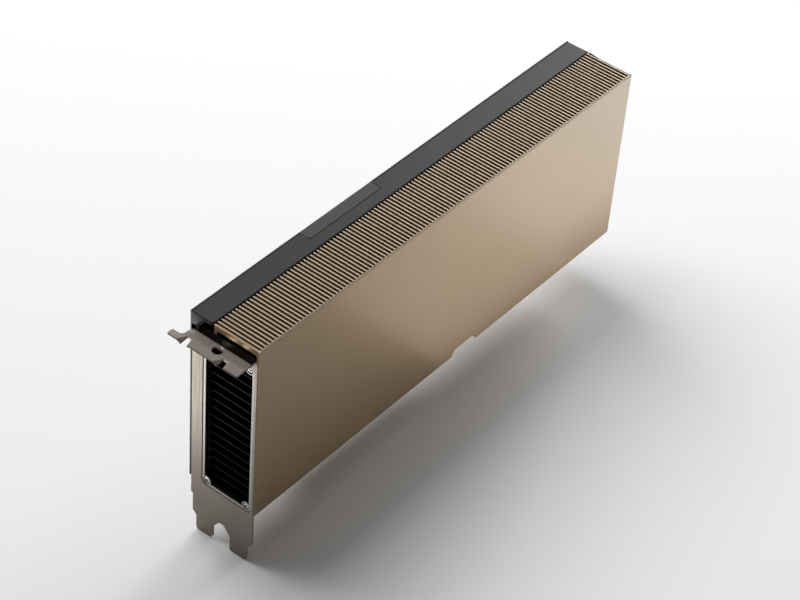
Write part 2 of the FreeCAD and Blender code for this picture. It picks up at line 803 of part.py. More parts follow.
def make_board():
    """The circuit board, with its edge connector, key notch, latch hook and bridge tab."""
    body = new_body("circuit_board")
    outline = new_sketch(body, "board_outline", "XZ_Plane", "-board_thickness / 2")
    half_key = "key_width / 2"
    hook = half_key + " + " + REAR_TAB + " + hook_gap"
    stem = hook + " + hook_stem"
    foot = stem + " + hook_foot"
    bridge_end = BRIDGE_START + " + " + BRIDGE_LENGTH
    draw(outline, [
        (along("board_start"), "board_low"),
        ("-(%s) - (%s)" % (half_key, FRONT_TAB), "board_low"),
        ("-(%s) - (%s)" % (half_key, FRONT_TAB), "0"),
        ("-(%s)" % half_key, "0"),
        ("-(%s)" % half_key, "key_depth"),
        (half_key, "key_depth"),
        (half_key, "0"),
        (half_key + " + " + REAR_TAB, "0"),
        (half_key + " + " + REAR_TAB, "board_low"),
        (hook, "board_low"),
        (hook, "hook_low"),
        (foot, "hook_low"),
        (foot, "hook_low + hook_height / 2"),
        (stem, "hook_low + hook_height / 2"),
        (stem, "board_low"),
        (along(BOARD_END), "board_low"),
        (along(BOARD_END), up(RAIL_LOW)),
        (along(bridge_end), up(RAIL_LOW)),
        (along(bridge_end), up(BRIDGE_TOP)),
        (along(BRIDGE_START), up(BRIDGE_TOP)),
        (along(BRIDGE_START), up(RAIL_LOW)),
        (along("board_start"), up(RAIL_LOW)),
    ])
    pad(body, outline, "board_thickness")
    notch = [("-(%s)" % half_key, "key_depth"), (half_key, "key_depth")]
    round_edges(body, "key_rounds", 1, notch, "key_width * 0.49")
    holes = new_sketch(body, "board_holes", "XZ_Plane", "-board_thickness / 2 - overcut")
    for low in ("tab_low", "tab_high"):
        draw_circle(holes, along("tab_length / 2"), up(low + " + tab_height / 2"),
                    "screw_radius")
    for x, z in spring_places():
        draw_circle(holes, along(x), up(z), "spring_hole")
    pocket(body, holes, "board_thickness + 2 * overcut")
    return body


def spring_places():
    """The four spring screws round the processor, along and up."""
    half = "spring_spacing / 2"
    return [("chip_along %s %s" % (side, half), "chip_up %s %s" % (level, half))
            for side in "+-" for level in "+-"]


def make_contacts():
    """The plated contacts on both faces of the edge connector."""
    solids = []
    half_key = value("key_width / 2")
    pitch = value("contact_pitch")
    margin = value("contact_margin")
    width = value("contact_width")
    plating = value("contact_plating")
    groups = [(-half_key - value(FRONT_TAB), int(value("front_contacts"))),
              (half_key, int(value("rear_contacts")))]
    for start, count in groups:
        for index in range(count):
            left = start + (margin + pitch - width) / 2 + index * pitch
            for face in (value("board_thickness / 2"), -value("board_thickness / 2") - plating):
                corner = FreeCAD.Vector(left, face, value("contact_low"))
                solids.append(Part.makeBox(width, plating, value("contact_height"), corner))
    return group("edge_contacts", solids)


def make_bridge_contacts():
    """The plated contacts of the bridge connector, under its cover."""
    solids = []
    count = int(value("bridge_contacts"))
    plating = value("contact_plating")
    pitch = value(BRIDGE_LENGTH) / count
    width = value("bridge_contact_width")
    height = value("bridge_contact_height")
    start = value(along(BRIDGE_START))
    top = value(up(BRIDGE_TOP)) - value("contact_low")
    for index in range(count):
        left = start + (index + 0.5) * pitch - width / 2
        for face in (value("board_thickness / 2"), -value("board_thickness / 2") - plating):
            corner = FreeCAD.Vector(left, face, top - height)
            solids.append(Part.makeBox(width, plating, height, corner))
    return group("bridge_contacts", solids)


def make_heatsink_base():
    """The vapour chamber that carries the fins, with a raised seat on the processor."""
    body = new_body("heatsink_base")
    outline = new_sketch(body, "base_outline", "XZ_Plane", forward(BASE_REAR))
    draw_box(outline, along("frame_thickness"), along(SINK_END), up("shroud_floor"),
             up(BASE_HIGH))
    pad(body, outline, "base_thickness")
    seat = new_sketch(body, "pedestal", "XZ_Plane", forward(PACKAGE_TOP))
    half = "pedestal_width / 2"
    draw_box(seat, along("chip_along - " + half), along("chip_along + " + half),
             up("chip_up - " + half), up("chip_up + " + half))
    pad(body, seat, BASE_REAR + " - (" + PACKAGE_TOP + ")")
    holes = new_sketch(body, "spring_holes", "XZ_Plane", forward(BASE_REAR + " - overcut"))
    for x, z in spring_places():
        draw_circle(holes, along(x), up(z), "spring_hole")
    pocket(body, holes, "spring_screw_depth + overcut")
    screws = new_sketch(body, "base_floor_holes", "XY_Plane", up("0"))
    for place in FLOOR_SCREWS:
        draw_circle(screws, along(place), deep(BASE_REAR + " + base_thickness / 2"), "screw_radius")
    pocket(body, screws, "shroud_floor + floor_screw_depth")
    return body


def make_fins():
    """The fins: flat blades that stand on the heatsink's base, all along it."""
    root = value(BASE_FRONT)
    tip = value(SHROUD_INSIDE) - value("fin_tip_gap")
    run = (value("frame_thickness"), value(SINK_END))
    solids = []
    room = value(BASE_HIGH + " - fin_first - fin_sheet")
    for index in range(int(room / value("fin_pitch")) + 1):
        low = value("fin_first") + index * value("fin_pitch")
        solids.append(block(run, (root, tip), (low, low + value("fin_sheet"))))
    return group("heatsink_fins", solids)


def make_package():
    """The processor: substrate, stiffening ring, die and memory stacks."""
    chip_x = value("chip_along")
    chip_z = value("chip_up")
    half = value("substrate_size") / 2
    front = value(BOARD_FRONT)
    top = front + value("substrate_thickness")
    crown = value(PACKAGE_TOP)
    run_x = (chip_x - half, chip_x + half)
    run_z = (chip_z - half, chip_z + half)
    group("chip_substrate", [block(run_x, (front, top), run_z)])
    ring = value("ring_width")
    ring_top = top + value("ring_thickness")
    outer = block(run_x, (top, ring_top), run_z)
    inner = block((run_x[0] + ring, run_x[1] - ring), (top, ring_top),
                  (run_z[0] + ring, run_z[1] - ring))
    group("chip_stiffener", [outer.cut(inner)])
    wide = value("die_width") / 2
    tall = value("die_height") / 2
    group("processor_die", [block((chip_x - wide, chip_x + wide), (top, crown),
                                  (chip_z - tall, chip_z + tall))])
    stacks = []
    gap = value("memory_gap")
    for side in (-1, 1):
        near = chip_x + side * (wide + gap)
        far = near + side * value("memory_width")
        for step in (-1, 0, 1):
            middle = chip_z + step * value("memory_step")
            reach = value("memory_height") / 2
            stacks.append(block((min(near, far), max(near, far)), (top, crown),
                                (middle - reach, middle + reach)))
    group("memory_stacks", stacks)


def make_power_stages():
    """Inductors with their switching chips and capacitors, in a column each side of the chip."""
    coils = []
    chips = []
    pads = []
    ceramics = []
    front = value(BOARD_FRONT)
    half = value("inductor_size") / 2
    coil_top = front + value("inductor_height")
    for side in (-1, 1):
        column = value("chip_along") + side * value("inductor_offset")
        beside = column + side * value("stage_offset")
        beyond = beside + side * value("ceramic_offset")
        for index in range(int(value("inductor_count"))):
            shift = index - (value("inductor_count") - 1) / 2
            middle = value("chip_up") + shift * value("inductor_pitch")
            run_z = (middle - half, middle + half)
            coils.append(block((column - half, column + half), (front, coil_top), run_z))
            pads.append(block((column - half, column + half), (coil_top, value(BASE_REAR)), run_z))
            wide = value("stage_width") / 2
            chips.append(block((beside - wide, beside + wide),
                               (front, front + value("stage_height")),
                               (middle - wide, middle + wide)))
            long = value("ceramic_length") / 2
            thin = value("ceramic_width") / 2
            ceramics.append(block((beyond - thin, beyond + thin),
                                  (front, front + value("ceramic_height")),
                                  (middle - long, middle + long)))
    group("inductors", coils)
    group("thermal_pads", pads)
    group("power_stages", chips)
    group("ceramic_capacitors", ceramics)


def make_bulk_capacitors():
    """The round capacitors between the heatsink and the power socket."""
    solids = []
    for index in range(int(value("bulk_count"))):
        height = value("bulk_first") + index * value("bulk_pitch")
        solids.append(rod(value("card_length - bulk_from_end"), value(BOARD_FRONT), height, "bulk_radius",
                          "bulk_height", INWARD))
    return group("bulk_capacitors", solids)


def make_control_chips():
    """The small flat chips on the board."""
    front = value(BOARD_FRONT)
    depth = (front, front + value("control_height"))
    half = value("control_size") / 2
    solids = []
    for across, upward in CONTROL_CHIPS:
        x = value(across)
        z = value(upward)
        solids.append(block((x - half, x + half), depth, (z - half, z + half)))
    return group("control_chips", solids)


def socket_columns():
    """The middles of the power socket's four columns, up."""
    middle = SOCKET_LOW + " + socket_width / 2"
    return ["%s + pin_pitch * %s" % (middle, step) for step in (-1.5, -0.5, 0.5, 1.5)]


def socket_rows():
    """The middles of the power socket's two rows, deep."""
    middle = BOARD_FRONT + " + socket_height / 2"
    return ["%s + pin_pitch * %s" % (middle, step) for step in (-0.5, 0.5)]


def make_power_socket():
    """The power socket's housing: eight cavities and a latch ramp."""
    body = new_body("power_socket")
    shell = new_sketch(body, "socket_shell", "YZ_Plane", along(SOCKET_END + " - socket_length"))
    rear = BOARD_FRONT
    draw_box(shell, deep(rear + " + socket_height"), deep(rear), up(SOCKET_LOW),
             up(SOCKET_LOW + " + socket_width"))
    pad(body, shell, "socket_length")
    ramp = new_sketch(body, "latch_ramp_side", "XZ_Plane", forward(rear + " + socket_height"))
    middle = SOCKET_LOW + " + socket_width / 2"
    ramp_end = SOCKET_END + " - ramp_from_end"
    draw_box(ramp, along(ramp_end + " - ramp_length"), along(ramp_end),
             up(middle + " - ramp_width / 2"), up(middle + " + ramp_width / 2"))
    pad(body, ramp, "latch_ramp")
    cavities = new_sketch(body, "socket_cavities", "YZ_Plane",
                          along(SOCKET_END + " - socket_floor"))
    half = "(pin_pitch - socket_wall) / 2"
    for y in socket_rows():
        for z in socket_columns():
            draw_box(cavities, deep(y + " + " + half), deep(y + " - " + half),
                     up(z + " - " + half), up(z + " + " + half))
    pocket(body, cavities, "socket_floor + overcut")
    return body


def make_power_pins():
    """The eight pins in the power socket."""
    solids = []
    half = value("pin_size") / 2
    start = value(SOCKET_END + " - socket_floor")
    for y in socket_rows():
        for z in socket_columns():
            solids.append(block((start, start + value("pin_length")),
                                (value(y) - half, value(y) + half),
                                (value(z) - half, value(z) + half)))
    return group("power_pins", solids)


def make_rear_frame():
    """The frame at the far end: an air outlet, a port for the power plug and extender holes."""
    body = new_body("rear_frame")
    front = along("card_length - end_thickness")
    outline = new_sketch(body, "end_outline", "YZ_Plane", front)
    low = "shroud_floor"
    high = CEILING
    left = "backplate_sheet"
    return_inside = SHROUD_LEFT + " + return_wall"
    draw(outline, [
        (deep(left), up(low)),
        (deep(left), up(RAIL_LOW)),
        (deep(return_inside), up(RAIL_LOW)),
        (deep(return_inside), up(high + " - return_wall")),
        (deep(return_inside + " + return_wall"), up(high)),
        (deep(SHROUD_INSIDE + " - inner_round"), up(high)),
        (deep(SHROUD_INSIDE), up(high + " - inner_round")),
        (deep(SHROUD_INSIDE), up(low)),
    ])
    pad(body, outline, "end_thickness")
    air = new_sketch(body, "air_outlet", "YZ_Plane", front + " - overcut")
    port_left = BOARD_FRONT + " - end_port_gap"
    port_right = BOARD_FRONT + " + socket_height + latch_ramp + end_port_gap"
    port_low = SOCKET_LOW + " - end_port_gap"
    port_high = SOCKET_LOW + " + socket_width + end_port_gap"
    air_left = BASE_FRONT
    air_right = SHROUD_INSIDE + " - end_rim"
    air_low = low + " + end_rim"
    air_high = RAIL_LOW + " - end_top_rim"
    draw(air, [
        (deep(air_left), up(air_low)),
        (deep(air_left), up(port_low + " - end_bar")),
        (deep(port_right + " + end_bar"), up(port_low + " - end_bar")),
        (deep(port_right + " + end_bar"), up(air_high)),
        (deep(air_right), up(air_high)),
        (deep(air_right), up(air_low)),
    ])
    pocket(body, air, "end_thickness + 2 * overcut")
    port = new_sketch(body, "plug_port", "YZ_Plane", front + " - overcut")
    draw_box(port, deep(port_right), deep(port_left), up(port_low), up(port_high))
    pocket(body, port, "end_thickness + 2 * overcut")
    holes = new_sketch(body, "extender_holes", "YZ_Plane", front + " - overcut")
    for z in ("extender_low", "extender_low + extender_spacing"):
        draw_circle(holes, deep("extender_deep"), up(z), "extender_hole")
    pocket(body, holes, "end_thickness + 2 * overcut")
    return body


def make_retainer():
    """The spring plate behind the processor: two crossed arms on the back of the board."""
    body = new_body("retention_plate")
    sketch = new_sketch(body, "retainer_outline", "XZ_Plane",
                        forward(BOARD_REAR + " - retainer_thickness"))
    reach = "spring_spacing / 2 + retainer_arm / 2"
    inner = "spring_spacing / 2 - retainer_arm / 2"

    def corner(side_x, side_z, far_x, far_z):
        return (along("chip_along %s (%s)" % (side_x, far_x)), up("chip_up %s (%s)" % (side_z, far_z)))

    cut = "retainer_arm"
    draw(sketch, [
        corner("-", "-", reach, reach), corner("-", "-", inner, reach),
        corner("-", "-", cut, cut + " * 2"), corner("+", "-", cut, cut + " * 2"),
        corner("+", "-", inner, reach), corner("+", "-", reach, reach),
        corner("+", "-", reach, inner), corner("+", "-", cut + " * 2", cut),
        corner("+", "+", cut + " * 2", cut), corner("+", "+", reach, inner),
        corner("+", "+", reach, reach), corner("+", "+", inner, reach),
        corner("+", "+", cut, cut + " * 2"), corner("-", "+", cut, cut + " * 2"),
        corner("-", "+", inner, reach), corner("-", "+", reach, reach),
        corner("-", "+", reach, inner), corner("-", "+", cut + " * 2", cut),
        corner("-", "-", cut + " * 2", cut), corner("-", "-", reach, inner),
    ])
    pad(body, sketch, "retainer_thickness")
    holes = new_sketch(body, "retainer_holes", "XZ_Plane",
                       forward(BOARD_REAR + " - retainer_thickness - overcut"))
    for x, z in spring_places():
        draw_circle(holes, along(x), up(z), "spring_hole")
    pocket(body, holes, "retainer_thickness + 2 * overcut")
    return body


def headed_screw(place, direction, length, radius, head, head_height):
    """A screw whose head sits on a place, behind it, and whose shank runs ahead of it."""
    shank = Part.makeCylinder(value(radius), length, place, direction)
    cap = Part.makeCylinder(value(head), head_height, place, -direction)
    return shank.fuse(cap)


def make_spring_screws():
    """Four screws that pull the heatsink onto the processor."""
    seat = value(BOARD_REAR + " - retainer_thickness")
    reach = value(BASE_REAR + " + spring_screw_depth") - seat
    return group("spring_screws", [
        headed_screw(spot(value(x), seat, value(z)), INWARD, reach, "spring_hole", "spring_head",
                     value("spring_head_height"))
        for x, z in spring_places()])


def make_standoffs():
    """Six-sided spacers that hold the board off the backplate."""
    solids = []
    sheet_inside = value("backplate_sheet")
    gap = value(BOARD_REAR) - sheet_inside
    for x, z in BOARD_SCREWS:
        middle = spot(value(x), sheet_inside, value(z))
        corners = [middle + FreeCAD.Vector(math.cos(turn), 0, math.sin(turn)) * value("standoff_radius")
                   for turn in (math.pi / 3 * step for step in range(6))]
        post = Part.Face(Part.makePolygon(corners + corners[:1])).extrude(INWARD * gap)
        bore = Part.makeCylinder(value("screw_radius"), gap, middle, INWARD)
        solids.append(post.cut(bore))
    return group("board_standoffs", solids)


def make_backplate_screws():
    """Screws flush with the backplate, into the standoffs and the rail."""
    sheet_inside = value("backplate_sheet")
    gap = value(BOARD_REAR) - sheet_inside
    places = [(x, z, gap) for x, z in BOARD_SCREWS]
    places += [(x, RAIL_SCREW_UP, value("rail_screw_depth")) for x in RAIL_SCREWS]
    return group("backplate_screws", [
        headed_screw(spot(value(x), sheet_inside, value(z)), INWARD, length, "screw_radius",
                     "screw_head", sheet_inside)
        for x, z, length in places])


def make_bracket_screws():
    """Two low screws that hold the bracket's tabs to the board."""
    left = value("plate_left")
    length = value(BOARD_FRONT) - left
    return group("bracket_screws", [
        headed_screw(spot(value("tab_length / 2"), left, value(low + " + tab_height / 2")), INWARD,
                     length, "screw_radius", "pan_head", value("pan_height"))
        for low in ("tab_low", "tab_high")])


def make_vent_screws():
    """Four screws in the vent frame's corner bosses."""
    head_height = value("bracket_sheet - vent_recess - vent_head_sink")
    return group("vent_screws", [
        headed_screw(spot(0, value(y), value(z)), FORWARD, value("frame_thickness"), "vent_screw",
                     "vent_head", head_height)
        for y, z in vent_centres()])


def make_floor_screws():
    """Screws through the shroud's floor into the heatsink's edge."""
    middle = value(BASE_REAR + " + base_thickness / 2")
    length = value("shroud_floor + floor_screw_depth")
    return group("floor_screws", [
        Part.makeCylinder(value("screw_radius"), length, spot(value(x), middle, 0), UPWARD)
        for x in FLOOR_SCREWS])


make_shroud()
make_top_rail()
make_connector_cover()
make_backplate()
make_bracket()
make_vent_frame()
make_front_frame()
make_board()
make_contacts()
make_bridge_contacts()
make_heatsink_base()
make_fins()
make_package()
make_power_stages()
make_bulk_capacitors()
make_control_chips()
make_power_socket()
make_power_pins()
make_rear_frame()
make_retainer()
make_spring_screws()
make_standoffs()
make_backplate_screws()
make_bracket_screws()
make_vent_screws()
make_floor_screws()

doc.recompute()

for item in doc.Objects:
    if any(state in item.State for state in ("Invalid", "Error")):
        raise RuntimeError("%s failed: %s" % (item.Name, item.State))
os.makedirs("parts", exist_ok=True)
for item in PARTS:
    shape = item.Shape
    if shape.isNull() or not shape.isValid():
        raise RuntimeError("%s has no valid shape" % item.Label)
for item in PARTS:
    item.Shape.exportStep("parts/%s.step" % item.Label)
    print(item.Label, len(item.Shape.Solids), round(item.Shape.Volume, 1))
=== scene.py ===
import math

import bmesh
import bpy
from mathutils import Euler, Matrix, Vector


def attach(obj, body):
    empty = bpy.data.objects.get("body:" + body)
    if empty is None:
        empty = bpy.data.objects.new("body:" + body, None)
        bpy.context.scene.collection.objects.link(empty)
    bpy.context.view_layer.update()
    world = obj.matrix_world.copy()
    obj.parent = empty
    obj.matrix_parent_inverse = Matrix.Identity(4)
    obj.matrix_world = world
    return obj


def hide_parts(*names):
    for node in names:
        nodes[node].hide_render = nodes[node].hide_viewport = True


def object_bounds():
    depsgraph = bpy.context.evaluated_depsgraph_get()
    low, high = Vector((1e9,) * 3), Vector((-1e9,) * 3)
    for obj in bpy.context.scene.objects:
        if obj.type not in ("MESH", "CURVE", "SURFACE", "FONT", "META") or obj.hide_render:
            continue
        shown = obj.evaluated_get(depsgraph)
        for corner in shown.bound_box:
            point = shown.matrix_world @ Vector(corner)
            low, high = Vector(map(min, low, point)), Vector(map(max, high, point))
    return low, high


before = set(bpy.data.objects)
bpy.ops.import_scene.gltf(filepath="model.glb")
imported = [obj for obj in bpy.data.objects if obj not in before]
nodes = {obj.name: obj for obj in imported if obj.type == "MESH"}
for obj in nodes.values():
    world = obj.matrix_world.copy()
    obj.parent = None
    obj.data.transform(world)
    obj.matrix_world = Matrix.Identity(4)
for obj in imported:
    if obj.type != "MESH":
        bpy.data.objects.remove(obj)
cad_low, cad_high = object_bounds()

# Sizes and places are in millimetres, and MM turns them into metres.
MM = 0.001
BODY = "root"

# The card's main planes: its large gold face, its ribbed edge, its front and its far end
FACE_PLANE, DECK_PLANE, FRONT_PLANE, BACK_PLANE = -35.145, 111.15, -59.05, 208.65
# The side of the top rail that lies along the ribs, and the reach of its rounded far corner
RAIL_SIDE, RAIL_CORNER = -9.245, 1.9
# How near a point that lies in a plane has to be to it, and in metres, how near two corners of a
# node's copy or of a screw are when they are made one
PLANE_SLACK = 0.02
WELD, SCREW_WELD = 1e-6, 3e-6
# The turn between two faces that makes them one flat face, and at an edge that gets rounded
FLAT, SHARP = math.radians(1), math.radians(40)


# Finishes

class Finish:
    """A material being built: its node tree, its shader and a few short ways to add nodes."""

    def __init__(self, name):
        self.material = bpy.data.materials.new(name)
        self.material.use_nodes = True
        self.tree = self.material.node_tree
        self.shader = self.tree.nodes["Principled BSDF"]
        self.place = self.add("ShaderNodeTexCoord").outputs["Object"]

    def add(self, kind, **settings):
        node = self.tree.nodes.new(kind)
        for name, setting in settings.items():
            setattr(node, name, setting)
        return node

    def link(self, source, target):
        self.tree.links.new(source, target)

    def set(self, **values):
        for name, value in values.items():
            self.shader.inputs[name.replace("_", " ")].default_value = value

    def colour(self, source):
        self.link(source, self.shader.inputs["Base Color"])

    def roughness(self, source):
        self.link(source, self.shader.inputs["Roughness"])

    def axes(self, source):
        """The X, Y and Z of a place or a direction."""
        node = self.add("ShaderNodeSeparateXYZ")
        self.link(source, node.inputs[0])
        return tuple(node.outputs)

    def noise(self, scale, detail=2.0, stretch=(1, 1, 1)):
        """Noise over the object's own place, in metres, stretched along its axes."""
        mapping = self.add("ShaderNodeMapping")
        mapping.inputs["Scale"].default_value = stretch
        self.link(self.place, mapping.inputs["Vector"])
        texture = self.add("ShaderNodeTexNoise")
        texture.inputs["Scale"].default_value = scale
        texture.inputs["Detail"].default_value = detail
        self.link(mapping.outputs["Vector"], texture.inputs["Vector"])
        return texture.outputs["Fac"]

    def spread(self, source, low, high, start=0.3, end=0.7):
        """Turn the values from start to end, or a noise's usual reach, into low to high."""
        node = self.add("ShaderNodeMapRange")
        for name, value in (("From Min", start), ("From Max", end),
                            ("To Min", low), ("To Max", high)):
            node.inputs[name].default_value = value
        self.link(source, node.inputs["Value"])
        return node.outputs["Result"]

    def rises(self, source, start, end, low=0.0, high=1.0):
        """A mask along an axis that goes up from low to high between two places."""
        return self.spread(source, low, high, start * MM, end * MM)

    def falls(self, source, start, end, high=1.0):
        """A mask along an axis that goes down from high to nothing between two places."""
        return self.spread(source, high, 0.0, start * MM, end * MM)

    def times(self, first, second):
        """The product of a socket and another socket or a number."""
        node = self.add("ShaderNodeMath", operation="MULTIPLY")
        self.link(first, node.inputs[0])
        if hasattr(second, "is_output"):
            self.link(second, node.inputs[1])
        else:
            node.inputs[1].default_value = second
        return node.outputs["Value"]

    def blend(self, factor, first, second):
        """Mix two colours, or sockets, by a factor."""
        node = self.add("ShaderNodeMix", data_type="RGBA")
        self.link(factor, node.inputs["Factor"])
        for place, colour in (("A", first), ("B", second)):
            socket = next(s for s in node.inputs if s.name == place and s.type == "RGBA")
            if hasattr(colour, "is_output"):
                self.link(colour, socket)
            else:
                socket.default_value = (*colour, 1)
        return next(s for s in node.outputs if s.type == "RGBA")

    def mottled(self, scale, dark, light, stretch=(1, 1, 1)):
        """A tone that changes slowly between two colours."""
        return self.blend(self.spread(self.noise(scale, 3.0, stretch), 0, 1), dark, light)

    def edge_wear(self, reach, start, end):
        """A 0 to 1 mask that is high along sharp outer edges, as wide as a reach in millimetres."""
        bevel = self.add("ShaderNodeBevel", samples=4)
        bevel.inputs["Radius"].default_value = reach * MM
        geometry = self.add("ShaderNodeNewGeometry")
        dot = self.add("ShaderNodeVectorMath", operation="DOT_PRODUCT")
        self.link(bevel.outputs["Normal"], dot.inputs[0])
        self.link(geometry.outputs["Normal"], dot.inputs[1])
        return self.spread(dot.outputs["Value"], 1.0, 0.0, start, end)

    def bump(self, heights, depth, strength):
        """Raise the surface by a pattern of heights, to a depth in millimetres."""
        node = self.add("ShaderNodeBump")
        node.inputs["Distance"].default_value = depth * MM
        node.inputs["Strength"].default_value = strength
        self.link(heights, node.inputs["Height"])
        self.link(node.outputs["Normal"], self.shader.inputs["Normal"])


def brighter(colour, times):
    """A colour made brighter, up to white."""
    return tuple(min(1.0, times * value) for value in colour)


def satin_metal(name, dark, light, rough, grain=1500.0, stretch=(1, 1, 1)):
    """Metal with a fine blasted or brushed grain and slow changes of tone."""
    finish = Finish(name)
    finish.set(Metallic=1.0)
    finish.colour(finish.mottled(9.0, dark, light))
    fine = finish.noise(grain, 2.0, stretch)
    finish.roughness(finish.spread(fine, rough - 0.05, rough + 0.06))
    finish.bump(fine, 0.01, 0.5)
    return finish.material


# The rail's coat carries painted shade, a duller sheen on its end face up to a place just behind
# the bracket, and painted light that makes its colour brighter along the card.
SHADED_END_SHEEN = FRONT_PLANE + 0.1, FRONT_PLANE + 0.3
PAINTED_LIGHT_RISE, PAINTED_LIGHT_TIMES = (FRONT_PLANE, 100.0), 1.9


def coated(name, dark, light, rough, specular=0.5, shaded_end_specular=None):
    """A powder coat or moulded plastic: a fine pebbled skin with slow changes of tone.

    The end specular value is a painted shade: the duller sheen of the rail's end that stands behind
    the bracket. When it is given, a painted light also makes the colour brighter along the card.
    """
    finish = Finish(name)
    finish.set(Specular_IOR_Level=specular)
    tone = finish.mottled(14.0, dark, light)
    if shaded_end_specular is not None:
        along, _, _ = finish.axes(finish.place)
        # Painted shade: the sheen is duller on the end face just behind the bracket.
        finish.link(finish.rises(along, *SHADED_END_SHEEN, shaded_end_specular, specular),
                    finish.shader.inputs["Specular IOR Level"])
        # Painted light: the colour gets brighter along the card.
        tone = finish.blend(finish.rises(along, *PAINTED_LIGHT_RISE), tone, brighter(light, PAINTED_LIGHT_TIMES))
    finish.colour(tone)
    fine = finish.noise(2600.0, 1.0)
    finish.roughness(finish.spread(fine, rough - 0.04, rough + 0.06))
    finish.bump(fine, 0.02, 0.35)
    return finish.material


# Where the gold changes, as the places between which each mask rises or falls; the masks carry
# painted highlights on the rib crests and the corner strip, and painted shade in the grooves and
# near the bracket's top
RIBS_ACROSS = FACE_PLANE + 0.45, FACE_PLANE + 0.6
RIBS_ALONG = FRONT_PLANE + 0.5, FRONT_PLANE + 0.9
DECK_DEPTH = DECK_PLANE - 1.2, DECK_PLANE - 1.1
CREST_HEIGHT = DECK_PLANE - 0.12, DECK_PLANE - 0.02
GROOVE_HEIGHT = DECK_PLANE - 0.45, DECK_PLANE - 0.12
LAST_GROOVE = BACK_PLANE - 1.2, BACK_PLANE - 1.1
CORNER_ACROSS = FACE_PLANE + 0.30, FACE_PLANE + 0.42
CORNER_HEIGHT = DECK_PLANE - 0.42, DECK_PLANE - 0.30
NEAR_BRACKET, FACE_HEIGHT = (FRONT_PLANE, 80.0), (10.0, 90.0)

GOLD_DARK, GOLD_LIGHT = (0.298, 0.204, 0.106), (0.322, 0.224, 0.119)
# The crest and corner tones are painted highlights; the groove tones and the near-bracket shade are
# painted shade.
CREST_HIGHLIGHT_TONE, CORNER_HIGHLIGHT_TONE, WORN_TONE = (0.300, 0.250, 0.188), (0.66, 0.56, 0.42), (0.42, 0.35, 0.26)
GROOVE_SHADE_TONE, LAST_GROOVE_SHADE_TONE = (0.045, 0.030, 0.014), (0.006, 0.004, 0.003)
GROOVE_SHADE_SHARE, WORN_SHARE, NEAR_BRACKET_SHADE = 0.8, 0.4, 0.16


def gold_finish():
    """Champagne anodised aluminium, finely blasted.

    Painted shade darkens the grooves, the last groove most, and the face near the bracket's top;
    painted highlights lighten the rib crests and the corner strip.
    """
    finish = Finish("champagne_anodised")
    finish.set(Metallic=1.0)
    body = finish.mottled(7.0, GOLD_DARK, GOLD_LIGHT, stretch=(1, 1, 1.6))
    along, across, up = finish.axes(finish.place)
    ribbed = finish.times(finish.rises(across, *RIBS_ACROSS), finish.rises(along, *RIBS_ALONG))
    # Painted highlight on the rib crests.
    crest_highlight = finish.times(ribbed, finish.rises(up, *CREST_HEIGHT))
    # Painted shade in the grooves between the ribs.
    groove_shade = finish.times(finish.times(ribbed, finish.rises(up, *DECK_DEPTH)),
                          finish.falls(up, *GROOVE_HEIGHT))
    # Painted shade, darker still, in the last groove at the far end.
    last_groove_shade = finish.times(finish.rises(along, *LAST_GROOVE), groove_shade)
    # Painted shade on the face near the bracket's top.
    near = finish.times(finish.falls(along, *NEAR_BRACKET, NEAR_BRACKET_SHADE),
                        finish.rises(up, *FACE_HEIGHT))
    # Painted highlight along the rounded corner strip at the top of the face.
    corner = finish.times(finish.falls(across, *CORNER_ACROSS), finish.rises(up, *CORNER_HEIGHT))
    wear = finish.times(finish.edge_wear(0.12, 0.86, 0.99), WORN_SHARE)
    for mask, tone in ((crest_highlight, CREST_HIGHLIGHT_TONE), (finish.times(groove_shade, GROOVE_SHADE_SHARE), GROOVE_SHADE_TONE),
                       (last_groove_shade, LAST_GROOVE_SHADE_TONE), (near, (0, 0, 0)), (corner, CORNER_HIGHLIGHT_TONE),
                       (wear, WORN_TONE)):
        body = finish.blend(mask, body, tone)
    finish.colour(body)
    fine = finish.noise(5200.0, 2.0)
    finish.roughness(finish.spread(fine, 0.38, 0.48))
    finish.set(Coat_Weight=0.5, Coat_Roughness=0.22, Coat_IOR=1.45)
    finish.bump(fine, 0.004, 0.5)
    return finish.material


# Where the bracket's steel carries painted light and shade: painted shade on the flange's outer cut
# edge, a painted highlight at its bend, and a painted shadow on the part of the vent frame's top
# bar that stands under the flange
FLANGE_CUT = -66.0, -65.8
FLANGE_BEND = -62.3, FRONT_PLANE - 0.3
FLANGE_HEIGHT = 97.9, 98.4
SHADED_BAR = -27.5, -26.5
# The Z and the X of a face's normal between which it starts to count as looking up, or forwards
LOOKS_UP, LOOKS_FORWARD = (0.1, 0.3), (-0.5, -0.3)
# The bend's brightening is a painted highlight, the cut edge's tone a painted shade and the bar's
# tone a painted shadow.
BEND_HIGHLIGHT_TIMES, CUT_EDGE_SHADE_TONE, BAR_SHADOW_TONE = 2.6, (0.02, 0.018, 0.016), (0.02, 0.02, 0.02)


